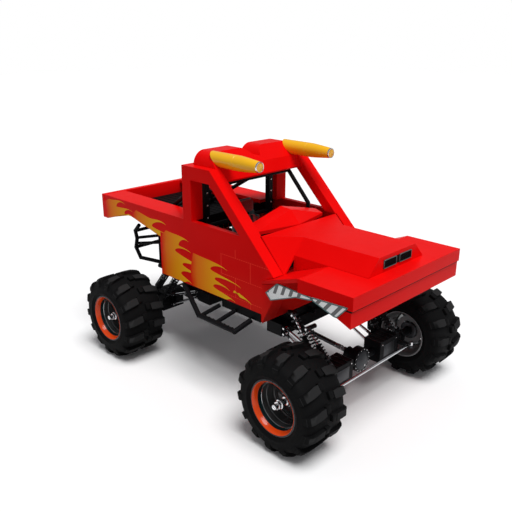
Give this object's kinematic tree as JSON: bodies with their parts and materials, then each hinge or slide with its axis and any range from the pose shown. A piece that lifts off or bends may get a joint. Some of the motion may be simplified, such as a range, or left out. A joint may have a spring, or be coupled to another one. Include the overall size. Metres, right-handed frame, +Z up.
{
  "type": "monster truck",
  "caption": "Pickup-bodied monster truck with tube chassis, beam axles, coil-over suspension, big lugged tyres on free-turning wheels and steered front and rear axles.",
  "frame": {"origin": "on the ground, under the middle of the overall length and width", "axes": "+X forward, +Y to the truck's left, +Z up"},
  "size_m": [5.788, 3.792, 3.61],
  "materials": {
    "body_paint": "gloss",
    "frame_black": "satin",
    "polished_metal": "polished",
    "tyre_rubber": "matte",
    "rim_paint": "gloss",
    "engine_metal": "cast",
    "driveline_steel": "satin",
    "spring_steel": "gloss",
    "lamp_yellow": "gloss",
    "grille_black": "matte",
    "seat_fabric": "woven",
    "grip_leather": "smooth",
    "trim_polished": "brushed"
  },
  "bodies": {
    "chassis": {"main_frame": "frame_black", "bed_frame": "frame_black", "cross_members": "frame_black", "shock_towers": "frame_black", "roll_cage": "frame_black", "side_steps": "frame_black", "rear_bumper": "frame_black", "floor_pan": "frame_black", "engine": "engine_metal", "gearbox": "driveline_steel", "driveshafts": "driveline_steel", "front_axle": "frame_black", "rear_axle": "frame_black", "bed_floor": "frame_black", "suspension_links": "polished_metal", "shocks": "polished_metal", "springs": "spring_steel", "side_trims": "trim_polished", "roof_lamps": "lamp_yellow", "intake_grille": "grille_black", "dash": "grille_black", "driver_seat": "seat_fabric", "steering_wheel": "grip_leather", "bed_sides": "body_paint", "tailgate": "body_paint", "cab_sides": "body_paint", "roof": "body_paint", "rear_pillars": "body_paint", "windshield_pillars": "body_paint", "cowl": "body_paint", "hood": "body_paint", "fenders": "body_paint", "nose": "body_paint", "front_lip": "body_paint", "front_bulkhead": "body_paint", "roof_fairings": "body_paint"},
    "knuckle_fr": {"knuckle_fr": "driveline_steel"},
    "knuckle_fl": {"knuckle_fl": "driveline_steel"},
    "knuckle_rr": {"knuckle_rr": "driveline_steel"},
    "knuckle_rl": {"knuckle_rl": "driveline_steel"},
    "wheel_fr": {"tyre_fr": "tyre_rubber", "rim_fr": "rim_paint"},
    "wheel_fl": {"tyre_fl": "tyre_rubber", "rim_fl": "rim_paint"},
    "wheel_rr": {"tyre_rr": "tyre_rubber", "rim_rr": "rim_paint"},
    "wheel_rl": {"tyre_rl": "tyre_rubber", "rim_rl": "rim_paint"},
    "tie_rod_front": {"tie_rod_front": "polished_metal"},
    "tie_rod_rear": {"tie_rod_rear": "polished_metal"}
  },
  "joints": [
    {"name": "steer_front", "type": "hinge", "parent": "chassis", "child": "knuckle_fl", "pos_m": [2.13, 0.96, 0.7], "axis": [0, 0, 1], "range_deg": [-25, 25]},
    {"name": "steer_front_right", "type": "hinge", "parent": "chassis", "child": "knuckle_fr", "pos_m": [2.13, -0.96, 0.7], "axis": [0, 0, 1], "range_deg": [-26, 26]},
    {"name": "tie_rod_front_pin", "type": "hinge", "parent": "knuckle_fl", "child": "tie_rod_front", "pos_m": [2.43, 0.96, 0.712], "axis": [0, 0, 1], "range_deg": [-26, 26]},
    {"name": "steer_rear", "type": "hinge", "parent": "chassis", "child": "knuckle_rl", "pos_m": [-1.722, 0.96, 0.7], "axis": [0, 0, 1], "range_deg": [-20, 20]},
    {"name": "steer_rear_right", "type": "hinge", "parent": "chassis", "child": "knuckle_rr", "pos_m": [-1.722, -0.96, 0.7], "axis": [0, 0, 1], "range_deg": [-21, 21]},
    {"name": "tie_rod_rear_pin", "type": "hinge", "parent": "knuckle_rl", "child": "tie_rod_rear", "pos_m": [-2.022, 0.96, 0.712], "axis": [0, 0, 1], "range_deg": [-21, 21]},
    {"name": "roll_fr", "type": "hinge", "parent": "knuckle_fr", "child": "wheel_fr", "pos_m": [2.13, -1.5, 0.7], "axis": [0, 1, 0], "continuous": true},
    {"name": "roll_fl", "type": "hinge", "parent": "knuckle_fl", "child": "wheel_fl", "pos_m": [2.13, 1.5, 0.7], "axis": [0, 1, 0], "continuous": true},
    {"name": "roll_rr", "type": "hinge", "parent": "knuckle_rr", "child": "wheel_rr", "pos_m": [-1.722, -1.5, 0.7], "axis": [0, 1, 0], "continuous": true},
    {"name": "roll_rl", "type": "hinge", "parent": "knuckle_rl", "child": "wheel_rl", "pos_m": [-1.722, 1.5, 0.7], "axis": [0, 1, 0], "continuous": true}
  ],
  "couplings": [
    {"joint": "steer_front_right", "follows": "steer_front", "ratio": 1},
    {"joint": "tie_rod_front_pin", "follows": "steer_front", "ratio": -1},
    {"joint": "steer_rear_right", "follows": "steer_rear", "ratio": 1},
    {"joint": "tie_rod_rear_pin", "follows": "steer_rear", "ratio": -1}
  ]
}
